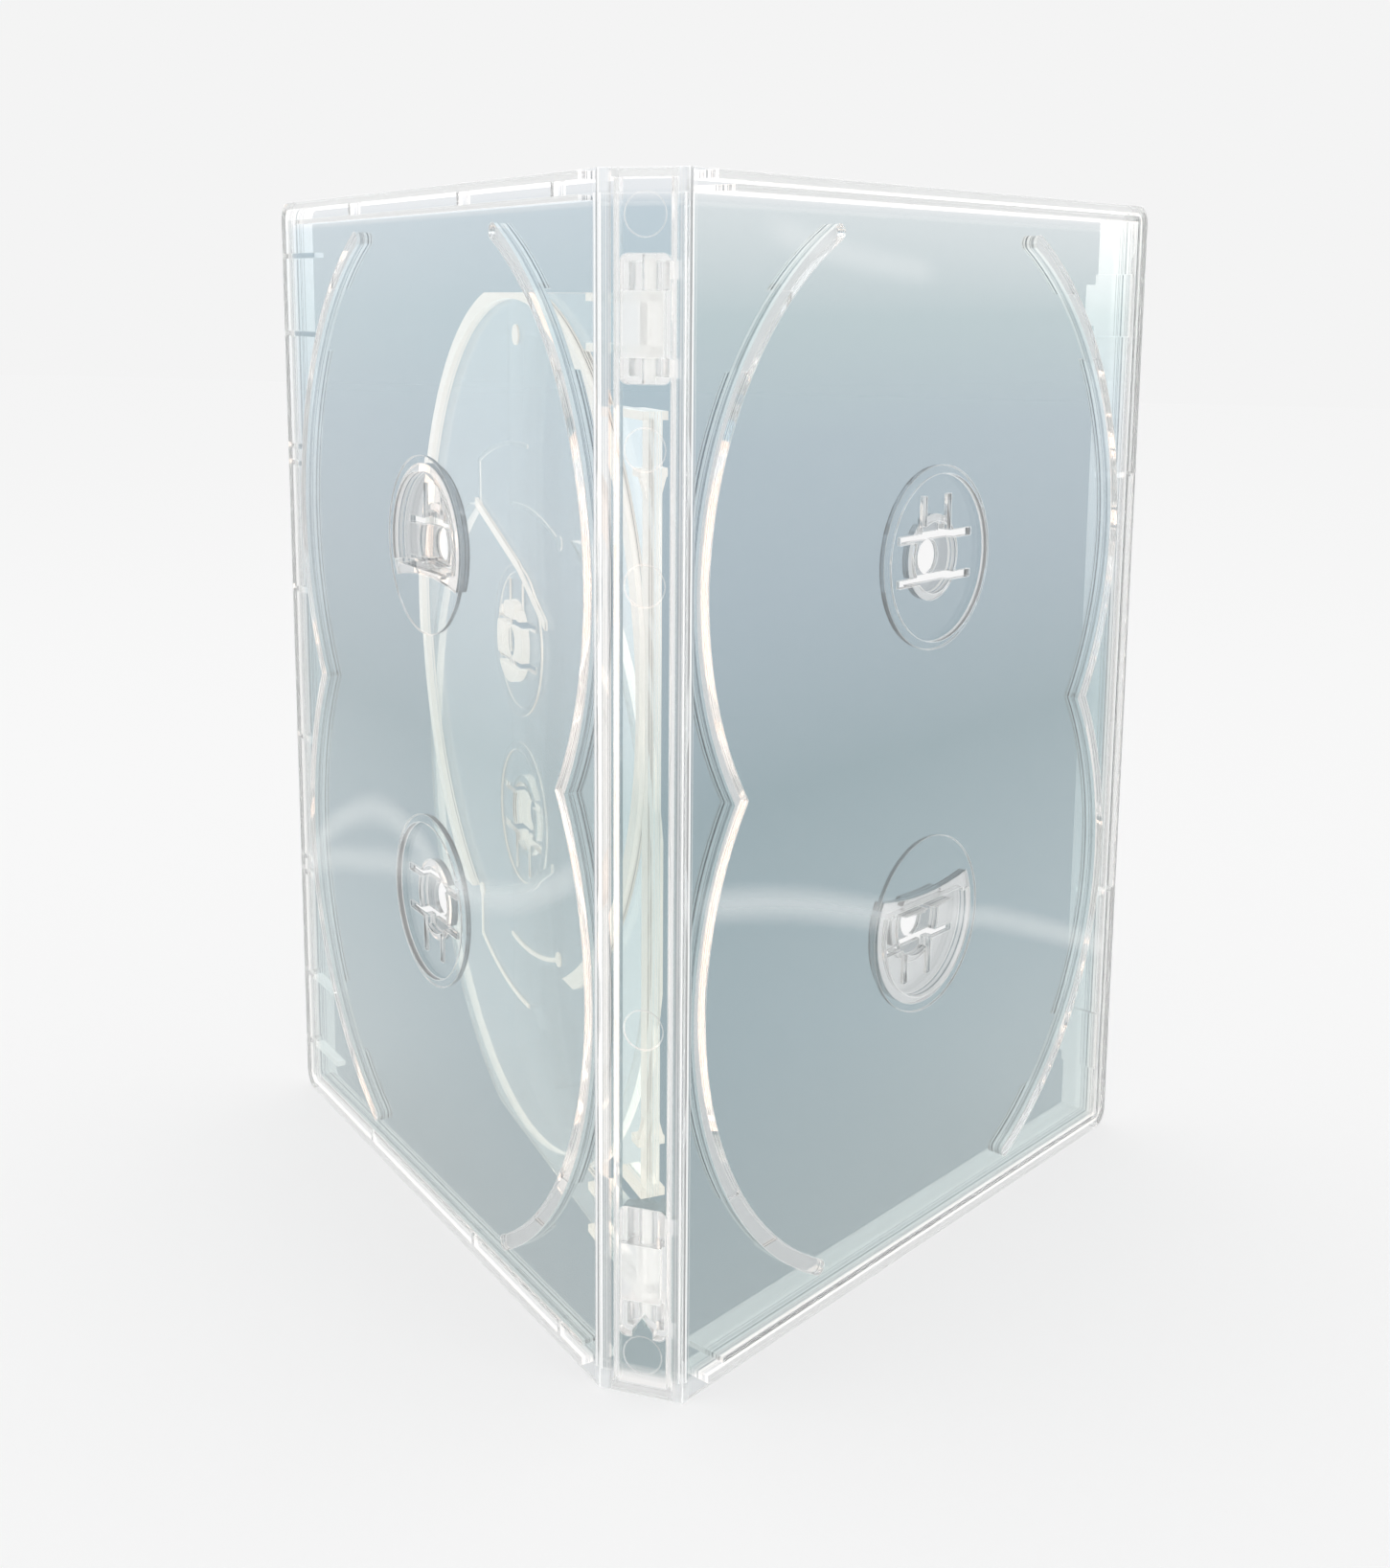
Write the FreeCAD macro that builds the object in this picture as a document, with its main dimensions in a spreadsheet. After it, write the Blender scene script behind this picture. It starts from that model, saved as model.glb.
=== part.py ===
"""Clear six-disc case, standing open on its bottom edge.

Millimetres, Z up.  X runs across the spine, +Y runs from the spine towards the open side.
The origin lies in the bottom face of the spine, under the pivot of the flip tray.
Each cover is drawn in its own frame: x from its hinge to its opening edge, y from its outer
face inwards, z up.  Seen that way both covers are the same moulding, with the raised hub
below, and the left one is turned over end to end when it is put in place.
"""
import FreeCAD, Part
import Sketcher
import os

Vector = FreeCAD.Vector
Rotation = FreeCAD.Rotation
Placement = FreeCAD.Placement

doc = FreeCAD.newDocument("disc_case")

# Driving dimensions

SIZES = {
    # whole case
    "case_height": 190.0,
    "spine_width": 14.0,
    "cover_length": 135.0,
    "closed_gap": 0.3,
    "left_open_angle": 40.0,
    "right_open_angle": 67.4,
    "tray_open_angle": 41.5,
    # moulded walls
    "panel_wall": 1.2,
    "rim_wall": 1.3,
    "rim_start": 6.9,
    "corner_radius": 3.5,
    "mitre_slope": 1.1,
    # guides for the rims of the discs
    "hub_reach": 66.0,
    "disc_edge_gap": 1.5,
    "guide_radius": 60.5,
    "guide_wall": 2.6,
    "guide_top": 4.4,
    "guide_end_angle": 29.0,
    "dip_top": 3.4,
    "dip_start": 33.0,
    "dip_end": 45.0,
    # hubs
    "seat_radius": 16.0,
    "seat_wall": 1.4,
    "flat_seat": 2.2,
    "raised_seat": 3.6,
    "ring_drop": 0.2,
    "disc_clearance_radius": 60.6,
    "button_radius": 7.5,
    "button_wall": 1.2,
    "button_cap": 0.8,
    "button_rise": 1.3,
    "hub_hole_radius": 3.1,
    "slot_offset": 3.7,
    "slot_width": 1.3,
    "slot_reach": 10.8,
    # rims that close into each other
    "tongue_inset": 1.9,
    "tongue_wall": 1.0,
    "tongue_top": 9.4,
    "groove_ridge_inset": 3.5,
    "groove_ridge_wall": 0.8,
    "groove_ridge_top": 4.2,
    "rib_wall": 1.0,
    "rib_reach": 3.7,
    "rib_top": 4.0,
    "tie_drop": 1.0,
    "gusset_1": 16.0,
    "gusset_2": 42.5,
    "gusset_3": 46.0,
    "gusset_4": 69.0,
    "gusset_5": 84.5,
    "tie_1": 15.0,
    "tie_2": 49.0,
    "tie_3": 98.0,
    "latch_offset": 76.0,
    "latch_length": 12.0,
    "latch_wall": 1.9,
    "tooth_length": 8.0,
    "tooth_top": 11.4,
    "thumb_half_length": 43.0,
    "thumb_depth": 0.7,
    "thumb_low": 1.9,
    "thumb_high": 4.6,
    # spine
    "spine_wall": 1.2,
    "channel_half_width": 4.4,
    "channel_rib_wall": 0.8,
    "channel_rib_height": 1.6,
    "end_half_width": 5.2,
    "end_depth": 6.0,
    "mark_radius": 3.2,
    "mark_height": 0.2,
    "mark_end_inset": 6.5,
    "mark_low": 61.0,
    "mark_high": 60.0,
    "mark_top": 40.0,
    # clips that hold the tray's pins
    "clip_half_width": 3.9,
    "clip_block_depth": 3.7,
    "jaw_radius": 3.2,
    "clip_floor": 1.0,
    "clip_cheek": 1.2,
    "pin_radius": 1.25,
    "pin_clearance": 0.07,
    "mouth_width": 2.0,
    "clip_corner_radius": 1.2,
    "top_clip_under": 13.0,
    "top_clip_over": 5.5,
    "bottom_clip_under": 6.0,
    "bottom_clip_over": 16.0,
    "clip_tab_length": 2.6,
    "clip_tab_inset": 1.0,
    "notch_half_width": 1.8,
    "notch_side": 1.2,
    "notch_height": 3.6,
    # flip tray
    "pivot_depth": 4.5,
    "tray_reach": 62.5,
    "tray_top_room": 17.5,
    "tray_bottom_room": 15.5,
    "tray_radius": 63.7,
    "tray_flat": 1.7,
    "tray_guide_wall": 2.7,
    "tray_guide_past": 54.5,
    "tray_wall": 1.0,
    "tray_half_depth": 2.0,
    "tray_seat_radius": 13.8,
    "tray_seat_rise": 0.4,
    "tray_button_top": 2.4,
    "arm_height": 9.0,
    "arm_clearance": 0.3,
    "arm_rib": 1.3,
    "arm_rib_length": 44.0,
    "knuckle_radius": 2.0,
    "pin_end_clearance": 0.6,
    "link_room": 17.0,
    "beam_half_depth": 1.2,
    "beam_half_wall": 1.1,
    "plate_end_reach": 8.4,
    "cross_rib_inset": 9.0,
    "cross_rib_reach": 2.4,
    "cross_rib_half_depth": 2.2,
    "cross_rib_gusset": 6.0,
    "score_width": 0.7,
    "score_height": 0.3,
    "inner_score_radius": 57.5,
    "inner_score_near": 21.5,
    "inner_score_far": 5.5,
    "outer_score_radius": 68.5,
    "outer_score_near": 4.5,
    "outer_score_far": 25.5,
    "score_hook": 9.0,
    "spot_radius": 1.3,
    "lift_line_wall": 1.6,
    "lift_far": 25.3,
    "lift_far_drop": 22.6,
    "lift_bend": 1.1,
    "lift_bend_drop": 13.6,
    "lift_near": 16.3,
    "lift_near_drop": 5.3,
    "tray_mark_drop": 7.3,
    "tray_mark_radius": 1.8,
    # clear film sleeve over the outside
    "film_wall": 0.2,
    "film_gap": 0.1,
    "film_edge": 3.5,
    "film_side_edge": 4.5,
    "film_fold_gap": 0.4,
    "weld_width": 1.6,
}

sheet = doc.addObject("Spreadsheet::Sheet", "Sizes")
for row, (alias, value) in enumerate(SIZES.items(), start=1):
    sheet.set(f"A{row}", alias)
    sheet.set(f"B{row}", str(value))
    sheet.setAlias(f"B{row}", alias)
doc.recompute()


def bound(text):
    """An expression in size names, with each name pointed at the sheet."""
    words = []
    word = ""
    for mark in str(text) + " ":
        if mark.isalnum() or mark == "_":
            word += mark
            continue
        words.append(f"Sizes.{word}" if word in SIZES else word)
        words.append(mark)
        word = ""
    return "".join(words).strip()


def tie(thing, **links):
    """Bind properties of an object to expressions in size names."""
    for name, text in links.items():
        thing.setExpression(name.replace("__", "."), bound(text))


def put(thing, x=0, y=0, z=0):
    """Bind an object's position to expressions in size names."""
    tie(thing, Placement__Base__x=x, Placement__Base__y=y, Placement__Base__z=z)
    return thing


# Solids that the pieces are built from

def block(name, x, y, z):
    """A box from three (low, high) pairs of expressions."""
    box = doc.addObject("Part::Box", name)
    tie(box, Length=f"({x[1]}) - ({x[0]})", Width=f"({y[1]}) - ({y[0]})",
        Height=f"({z[1]}) - ({z[0]})")
    return put(box, x[0], y[0], z[0])


def round_through(name, x, z, radius, y):
    """A round solid whose axis crosses the wall, from y[0] to y[1]."""
    disc = doc.addObject("Part::Cylinder", name)
    disc.Placement = Placement(Vector(), Rotation(Vector(1, 0, 0), -90))
    tie(disc, Radius=radius, Height=f"({y[1]}) - ({y[0]})")
    return put(disc, x, y[0], z)


def upright(name, x, y, radius, z):
    """A round solid whose axis is upright, from z[0] to z[1]."""
    rod = doc.addObject("Part::Cylinder", name)
    tie(rod, Radius=radius, Height=f"({z[1]}) - ({z[0]})")
    return put(rod, x, y, z[0])


def joined(name, parts):
    fusion = doc.addObject("Part::MultiFuse", name)
    fusion.Shapes = parts
    fusion.Refine = True
    return fusion


def less(name, base, tool):
    cut = doc.addObject("Part::Cut", name)
    cut.Base = base
    cut.Tool = tool
    return cut


def shared(name, first, second):
    common = doc.addObject("Part::MultiCommon", name)
    common.Shapes = [first, second]
    return common


# Sketches of straight-sided outlines, every corner placed by the sheet

CLOSE = 0.01


def plane_of(body, role):
    return next(item for item in body.Origin.OriginFeatures if item.Role == role)


def outline(body, name, role, corners):
    """A closed sketch through corners given as pairs of expressions."""
    sketch = body.newObject("Sketcher::SketchObject", name)
    sketch.AttachmentSupport = [(plane_of(body, role), "")]
    sketch.MapMode = "FlatFace"
    count = len(corners)
    spots = [Vector(*[sheet_value(text) for text in corner], 0) for corner in corners]
    for index in range(count):
        line = Part.LineSegment(spots[index], spots[(index + 1) % count])
        sketch.addGeometry(line, False)
    for index in range(count):
        sketch.addConstraint(Sketcher.Constraint("Coincident", index, 2, (index + 1) % count, 1))
    for index, corner in enumerate(corners):
        for kind, text, value in zip(("DistanceX", "DistanceY"), corner, spots[index]):
            rule = Sketcher.Constraint(kind, -1, 1, index, 1, value)
            number = sketch.addConstraint(rule)
            sketch.setExpression(f"Constraints[{number}]", bound(text))
    return sketch


trial = doc.addObject("Spreadsheet::Sheet", "Trial")


def sheet_value(text):
    """The number that an expression in size names has now, worked out on a sheet of its own."""
    trial.set("A1", "=" + bound(text))
    trial.recompute()
    return float(trial.get("A1"))


def pad(body, name, sketch, length, reversed_way=False, both_ways=False):
    feature = body.newObject("PartDesign::Pad", name)
    feature.Profile = sketch
    feature.Reversed = reversed_way
    feature.Midplane = both_ways
    tie(feature, Length=length)
    doc.recompute()
    return feature


def corner_edges(shape, x, heights):
    """Names of the edges across the wall that lie at x and at one of the heights."""
    names = []
    for number, edge in enumerate(shape.Edges, start=1):
        ends = [vertex.Point for vertex in edge.Vertexes]
        across = len(ends) == 2 and all(
            abs(end.x - x) < CLOSE and min(abs(end.z - height) for height in heights) < CLOSE
            for end in ends)
        if across and abs(ends[0].z - ends[1].z) < CLOSE:
            names.append(f"Edge{number}")
    return names


def round_corners(body, name, base, radius, x, spots):
    fillet = body.newObject("PartDesign::Fillet", name)
    edges = corner_edges(base.Shape, sheet_value(x), [sheet_value(spot) for spot in spots])
    fillet.Base = (base, edges)
    tie(fillet, Radius=radius)
    doc.recompute()
    return fillet


# Hubs: a button on a seat, slotted so that its fingers give when a disc is pressed on

def hub_slots(name, x, z, outwards, y):
    """Two slots across the hub and two running away from the middle of the case."""
    half = "slot_width/2"
    slots = []
    for side in ("+", "-"):
        middle = f"{z} {side} slot_offset"
        slots.append(block(f"{name}_across", (f"{x} - slot_reach", f"{x} + slot_reach"), y,
                           (f"{middle} - {half}", f"{middle} + {half}")))
        column = f"{x} {side} slot_offset"
        ends = (f"{z} + slot_offset", f"{z} + slot_reach")
        if outwards < 0:
            ends = (f"{z} - slot_reach", f"{z} - slot_offset")
        slots.append(block(f"{name}_along", (f"{column} - {half}", f"{column} + {half}"), y, ends))
    slots.append(round_through(f"{name}_hole", x, z, "hub_hole_radius", y))
    return slots


# Covers

HIGH_HUB = "(case_height - guide_radius - disc_edge_gap)"
LOW_HUB = "(guide_radius + disc_edge_gap)"
MIDDLE = "case_height/2"
RIM_TOP = "(spine_width - closed_gap)/2"


def cover_shell(side):
    """The panel with its rim on three sides, bevelled along the hinge."""
    body = doc.addObject("PartDesign::Body", f"{side}_shell")
    face = outline(body, f"{side}_panel_outline", "XZ_Plane",
                   [("0", "0"), ("cover_length", "0"), ("cover_length", "case_height"),
                    ("0", "case_height")])
    panel = pad(body, f"{side}_panel", face, "panel_wall", True)
    rim = outline(body, f"{side}_rim_outline", "XZ_Plane",
                  [("rim_start", "0"), ("cover_length", "0"), ("cover_length", "case_height"),
                   ("rim_start", "case_height"), ("rim_start", "case_height - rim_wall"),
                   ("cover_length - rim_wall", "case_height - rim_wall"),
                   ("cover_length - rim_wall", "rim_wall"), ("rim_start", "rim_wall")])
    walls = pad(body, f"{side}_rim", rim, RIM_TOP, True)
    rounded = round_corners(body, f"{side}_outer_corners", walls, "corner_radius",
                            "cover_length", ["0", "case_height"])
    inner = round_corners(body, f"{side}_inner_corners", rounded, "corner_radius - rim_wall",
                          "cover_length - rim_wall", ["rim_wall", "case_height - rim_wall"])
    body.Tip = inner
    bevel = outline(body, f"{side}_bevel_outline", "XY_Plane",
                    [("0", "0"), ("2*panel_wall*mitre_slope", "2*panel_wall"),
                     ("-panel_wall", "2*panel_wall"), ("-panel_wall", "0")])
    groove = body.newObject("PartDesign::Pocket", f"{side}_bevel")
    groove.Profile = bevel
    groove.Type = "ThroughAll"
    groove.Midplane = True
    doc.recompute()
    return body


def disc_guides(side):
    """The figure-eight ridge round both discs, with round ends at the top and the bottom."""
    depth = ("panel_wall/2", "guide_top")
    beyond = "2*guide_top"
    outer = []
    inner = []
    ends = []
    gaps = []
    middle_radius = "(guide_radius + guide_wall/2)"
    for hub, way in ((HIGH_HUB, "+"), (LOW_HUB, "-")):
        outer.append(round_through(f"{side}_guide_outside", "hub_reach", hub,
                                   "guide_radius + guide_wall", depth))
        inner.append(round_through(f"{side}_guide_inside", "hub_reach", hub,
                                   "guide_radius", ("0", beyond)))
        reach = "(guide_radius + 2*guide_wall)"
        half = f"{reach}*tan(guide_end_angle)"
        body = doc.addObject("PartDesign::Body", f"{side}_guide_gap")
        wedge = outline(body, f"{side}_gap_outline", "XZ_Plane",
                        [("hub_reach", hub), (f"hub_reach - {half}", f"{hub} {way} {reach}"),
                         (f"hub_reach + {half}", f"{hub} {way} {reach}")])
        pad(body, f"{side}_gap", wedge, beyond, True)
        gaps.append(body)
        gaps.append(block(f"{side}_guide_dip", ("0", "cover_length"), ("dip_top", beyond),
                          (f"{hub} + dip_start", f"{hub} + dip_end") if way == "+" else
                          (f"{hub} - dip_end", f"{hub} - dip_start")))
        for across in ("+", "-"):
            ends.append(round_through(
                f"{side}_guide_end", f"hub_reach {across} {middle_radius}*sin(guide_end_angle)",
                f"{hub} {way} {middle_radius}*cos(guide_end_angle)", "guide_wall/2", depth))
    ring = less(f"{side}_guide_ring", joined(f"{side}_guides_outside", outer),
                joined(f"{side}_guides_inside", inner))
    return [less(f"{side}_guides", ring, joined(f"{side}_guide_cuts", gaps))] + ends


def cover_hubs(side):
    """Solids and cuts of the flat hub above and of the raised hub below.

    The raised seat and its button stop at an arc, which leaves room for the lower disc's rim.
    """
    start = "panel_wall/2"
    below = "-panel_wall"
    other = ("-panel_wall", "tooth_top")
    flat_top = "flat_seat + button_rise"
    raised_top = "raised_seat + button_rise"
    solids = [
        round_through(f"{side}_flat_seat", "hub_reach", HIGH_HUB, "seat_radius",
                      (start, "flat_seat")),
        round_through(f"{side}_flat_button", "hub_reach", HIGH_HUB, "button_radius",
                      (start, flat_top)),
        round_through(f"{side}_raised_ring", "hub_reach", LOW_HUB, "seat_radius",
                      (start, "flat_seat - ring_drop")),
    ]
    raised = joined(f"{side}_raised_block", [
        round_through(f"{side}_raised_seat", "hub_reach", LOW_HUB, "seat_radius - seat_wall",
                      (start, "raised_seat")),
        round_through(f"{side}_raised_button", "hub_reach", LOW_HUB, "button_radius",
                      (start, raised_top)),
    ])
    room = round_through(f"{side}_disc_room", "hub_reach", HIGH_HUB, "disc_clearance_radius", other)
    solids.append(less(f"{side}_raised_hub", raised, room))
    cuts = [
        round_through(f"{side}_flat_recess", "hub_reach", HIGH_HUB, "seat_radius - seat_wall",
                      (below, "flat_seat - panel_wall")),
        round_through(f"{side}_flat_hollow", "hub_reach", HIGH_HUB,
                      "button_radius - button_wall", (below, f"{flat_top} - button_cap")),
    ]
    hollow = joined(f"{side}_raised_hollows", [
        round_through(f"{side}_raised_recess", "hub_reach", LOW_HUB, "seat_radius - 2*seat_wall",
                      (below, "raised_seat - panel_wall")),
        round_through(f"{side}_raised_hollow", "hub_reach", LOW_HUB,
                      "button_radius - button_wall", (below, f"{raised_top} - button_cap")),
    ])
    wall = round_through(f"{side}_arc_wall", "hub_reach", HIGH_HUB,
                         "disc_clearance_radius + 2*seat_wall", other)
    cuts.append(less(f"{side}_raised_hollow_cut", hollow, wall))
    cuts += hub_slots(f"{side}_flat_slot", "hub_reach", HIGH_HUB, 1, other)
    cuts += hub_slots(f"{side}_raised_slot", "hub_reach", LOW_HUB, -1, other)
    return solids, cuts


def rim_gusset(name, middle, top):
    """A tapered rib from the panel up to the opening edge's wall."""
    gusset = doc.addObject("Part::Wedge", name)
    high = "cover_length - rim_wall/2"
    tie(gusset, Xmin=f"cover_length - rim_wall - rib_reach", Xmax=high,
        X2min=f"cover_length - rim_wall - rib_wall/2", X2max=high,
        Ymin="panel_wall/2", Ymax=top, Zmin=f"{middle} - rib_wall/2", Zmax=f"{middle} + rib_wall/2",
        Z2min=f"{middle} - rib_wall/2", Z2max=f"{middle} + rib_wall/2")
    return gusset


def tongue_rim(side):
    """The tall inner wall that slides inside the other cover's rim, with its two latches."""
    body = doc.addObject("PartDesign::Body", f"{side}_tongue_body")
    inset = "tongue_inset"
    deep = "(tongue_inset + tongue_wall)"
    start = "rim_start + rib_reach"
    path = outline(body, f"{side}_tongue_outline", "XZ_Plane",
                   [(start, inset), (f"cover_length - {inset}", inset),
                    (f"cover_length - {inset}", f"case_height - {inset}"),
                    (start, f"case_height - {inset}"), (start, f"case_height - {deep}"),
                    (f"cover_length - {deep}", f"case_height - {deep}"),
                    (f"cover_length - {deep}", deep), (start, deep)])
    wall = pad(body, f"{side}_tongue", path, "tongue_top", True)
    round_corners(body, f"{side}_tongue_corners", wall, "tongue_wall",
                  f"cover_length - {inset}", [inset, f"case_height - {inset}"])
    solids = [body]
    outside = "cover_length - tongue_inset"
    for along in ("+", "-"):
        middle = f"{MIDDLE} {along} latch_offset"
        for part, length, top in (("tab", "latch_length", "tongue_top"),
                                  ("tooth", "tooth_length", "tooth_top")):
            solids.append(block(f"{side}_latch_{part}", (f"{outside} - latch_wall", outside),
                                ("panel_wall/2", top),
                                (f"{middle} - {length}/2", f"{middle} + {length}/2")))
        solids.append(rim_gusset(f"{side}_thumb_end", f"{MIDDLE} {along} thumb_half_length", RIM_TOP))
    notch = block(f"{side}_thumb_notch",
                  ("cover_length - thumb_depth", "cover_length + thumb_depth"),
                  ("thumb_low", "thumb_high"),
                  (f"{MIDDLE} - thumb_half_length", f"{MIDDLE} + thumb_half_length"))
    return solids, [notch]


GROOVE_GUSSETS = [name for name in SIZES if name.startswith("gusset_")]
GROOVE_TIES = [name for name in SIZES if name.startswith("tie_") and name != "tie_drop"]


def groove_rim(side):
    """The low ridge beside the rim that receives the tongue, with its ribs."""
    solids = []
    ends = ("rim_start", "cover_length - 2*corner_radius")
    inset = "groove_ridge_inset"
    for name, low in (("low", inset), ("high", f"case_height - {inset} - groove_ridge_wall")):
        solids.append(block(f"{side}_groove_ridge_{name}", ends,
                            ("panel_wall/2", "groove_ridge_top"),
                            (low, f"{low} + groove_ridge_wall")))
    for place in GROOVE_TIES:
        for name, low, high in (("low", "rim_wall/2", inset),
                                ("high", f"case_height - {inset}", "case_height - rim_wall/2")):
            solids.append(block(f"{side}_tie_{name}",
                                (f"{place} - rib_wall/2", f"{place} + rib_wall/2"),
                                ("panel_wall/2", "groove_ridge_top - tie_drop"), (low, high)))
    for along in ("+", "-"):
        for place in GROOVE_GUSSETS:
            solids.append(rim_gusset(f"{side}_gusset", f"{MIDDLE} {along} {place}", "rib_top"))
    return solids, []


def cover(side, rim):
    """One cover in its own frame."""
    hub_solids, hub_cuts = cover_hubs(side)
    rim_solids, rim_cuts = rim(side)
    solid = joined(f"{side}_cover_solid",
                   [cover_shell(side)] + disc_guides(side) + hub_solids + rim_solids)
    piece = less(f"{side}_cover", solid, joined(f"{side}_cover_cuts", hub_cuts + rim_cuts))
    piece.Label = f"{side}_cover"
    return piece


def film(side):
    """The clear sleeve over one cover, welded to the panel along its outer edge."""
    edge = "cover_length - film_side_edge"
    heights = ("film_edge", "case_height - film_edge")
    sheet_part = block(f"{side}_film", ("film_fold_gap", edge),
                       ("-film_gap - film_wall", "-film_gap"), heights)
    weld = block(f"{side}_weld", (f"{edge} - weld_width", edge), ("-film_gap - film_wall", "0"),
                 heights)
    piece = joined(f"sleeve_{side}", [sheet_part, weld])
    piece.Label = f"sleeve_{side}"
    return piece


def stand_right(piece):
    piece.Placement = Placement(Vector(), Rotation(Vector(0, 0, 1), 0))
    tie(piece, Placement__Rotation__Angle="right_open_angle")
    return put(piece, "spine_width/2", "-pivot_depth", "0")


def stand_left(piece):
    """Turned over end to end, about an axis halfway between its hinge line's two directions."""
    piece.Placement = Placement(Vector(), Rotation(Vector(0, 1, 0), 180))
    tie(piece, Placement__Rotation__Axis__x="sin(left_open_angle/2)",
        Placement__Rotation__Axis__y="cos(left_open_angle/2)")
    return put(piece, "-spine_width/2", "-pivot_depth", "case_height")


# Spine

FLOOR = "spine_wall - pivot_depth"
BACK = "-pivot_depth"


def spine_channel():
    """The back wall, bevelled at both hinges, with two ribs along its length."""
    body = doc.addObject("PartDesign::Body", "spine_channel")
    half = "spine_width/2"
    bevel = f"{half} - spine_wall*mitre_slope"
    rib_out = "channel_half_width + channel_rib_wall/2"
    rib_in = "channel_half_width - channel_rib_wall/2"
    rib_top = f"{FLOOR} + channel_rib_height"
    right = [(half, BACK), (bevel, FLOOR), (rib_out, FLOOR), (rib_out, rib_top),
             (rib_in, rib_top), (rib_in, FLOOR)]
    left = [(f"-({across})", depth) for across, depth in reversed(right)]
    section = outline(body, "spine_section", "XY_Plane", right + left)
    pad(body, "spine_length", section, "case_height")
    return body


def spine_ends():
    ends = []
    for name, low, high in (("low", "0", "rim_wall"),
                            ("high", "case_height - rim_wall", "case_height")):
        ends.append(block(f"spine_end_{name}", ("-end_half_width", "end_half_width"),
                          (f"{FLOOR} - spine_wall/2", "end_depth - pivot_depth"), (low, high)))
    return ends


EJECTOR_MARKS = ("mark_end_inset", "mark_low", "case_height - mark_high",
                 "case_height - mark_top", "case_height - mark_end_inset")


def spine_marks():
    marks = []
    for height in EJECTOR_MARKS:
        marks.append(round_through("ejector_mark", "0", height, "mark_radius",
                                   (f"{FLOOR} - spine_wall/2", f"{FLOOR} + mark_height")))
    return marks


TRAY_TOP = "(case_height - tray_top_room)"
TRAY_BOTTOM = "tray_bottom_room"
CLIPS = {"top": (f"({TRAY_TOP} - top_clip_under)", f"({TRAY_TOP} + top_clip_over)"),
         "bottom": (f"({TRAY_BOTTOM} - bottom_clip_under)", f"({TRAY_BOTTOM} + bottom_clip_over)")}


def clip_block(name, low, high):
    """The clip's round-cornered base, standing on the spine's back wall."""
    body = doc.addObject("PartDesign::Body", f"{name}_block")
    half = "clip_half_width"
    face = outline(body, f"{name}_outline", "XZ_Plane",
                   [(f"-{half}", low), (half, low), (half, high), (f"-{half}", high)])
    root = f"{FLOOR} - spine_wall/2"
    base = pad(body, f"{name}_base", face, f"{BACK} + clip_block_depth - ({root})", True)
    one = round_corners(body, f"{name}_right_corners", base, "clip_corner_radius", half,
                        [low, high])
    round_corners(body, f"{name}_left_corners", one, "clip_corner_radius", f"-{half}",
                  [low, high])
    return put(body, "0", root, "0")


def clip(name, arm_low, arm_high):
    """A block with two jaws round the tray's pins, cut away between them for the arm."""
    low, high = CLIPS[name]
    window = (f"{arm_low} - arm_clearance", f"{arm_high} + arm_clearance")
    jaws = upright(f"{name}_jaws", "0", "0", "jaw_radius",
                   (f"{low} + clip_tab_inset", f"{high} - clip_tab_inset"))
    room = block(f"{name}_window", ("-spine_width", "clip_half_width - clip_cheek"),
                 (f"{FLOOR} + clip_floor", "spine_width"), window)
    reach = block(f"{name}_side_room", ("-spine_width", "spine_width"),
                  (f"{BACK} + clip_block_depth", "spine_width"), window)
    past = (f"{low} - clip_tab_length", f"{high} + clip_tab_length")
    bore = upright(f"{name}_bore", "0", "0", "pin_radius + pin_clearance", past)
    mouth = block(f"{name}_mouth", ("-mouth_width/2", "mouth_width/2"), ("0", "2*jaw_radius"), past)
    tabs = []
    for spot in (f"{low} + clip_tab_inset", f"{high} - clip_tab_inset - clip_tab_length"):
        tabs.append(block(f"{name}_tab", ("clip_half_width/2", "spine_width/2 - 1.25*panel_wall"),
                          (f"{FLOOR} - spine_wall/2", f"{FLOOR} + channel_rib_height"),
                          (spot, f"{spot} + clip_tab_length")))
    solid = joined(f"{name}_solid", [clip_block(name, low, high), jaws] + tabs)
    return less(f"{name}_clip", solid, joined(f"{name}_cuts", [room, reach, bore, mouth]))


def drain_notch():
    """The roof-shaped opening at the foot of the lower clip."""
    low = CLIPS["bottom"][0]
    half = "notch_half_width"
    body = doc.addObject("PartDesign::Body", "notch_body")
    face = outline(body, "notch_outline", "XZ_Plane",
                   [(f"-{half}", f"{low} - notch_side"), (half, f"{low} - notch_side"),
                    (half, f"{low} + notch_side"), ("0", f"{low} + notch_height"),
                    (f"-{half}", f"{low} + notch_side")])
    pad(body, "notch_depth", face, "jaw_radius", True)
    return put(body, "0", FLOOR, "0")


def spine():
    top = clip("top", f"{TRAY_TOP} - arm_height", TRAY_TOP)
    bottom = clip("bottom", TRAY_BOTTOM, f"{TRAY_BOTTOM} + arm_height")
    piece = joined("spine", [spine_channel()] + spine_ends() + spine_marks()
                   + [top, less("notched_clip", bottom, drain_notch())])
    piece.Label = "spine"
    return piece


# Flip tray, drawn with x from its pivot outwards and y towards the left cover

TRAY_HUBS = {"upper": (f"({TRAY_TOP} + tray_flat - tray_radius)", 1),
             "lower": (f"({TRAY_BOTTOM} - tray_flat + tray_radius)", -1)}
LINK_ENDS = (f"({TRAY_BOTTOM} + link_room)", f"({TRAY_TOP} - link_room)")


def facing(side, low, high):
    """A depth range on the left face for side 1 and on the right face for side -1."""
    if side > 0:
        return (low, high)
    return (f"-({high})", f"-({low})")


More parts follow.
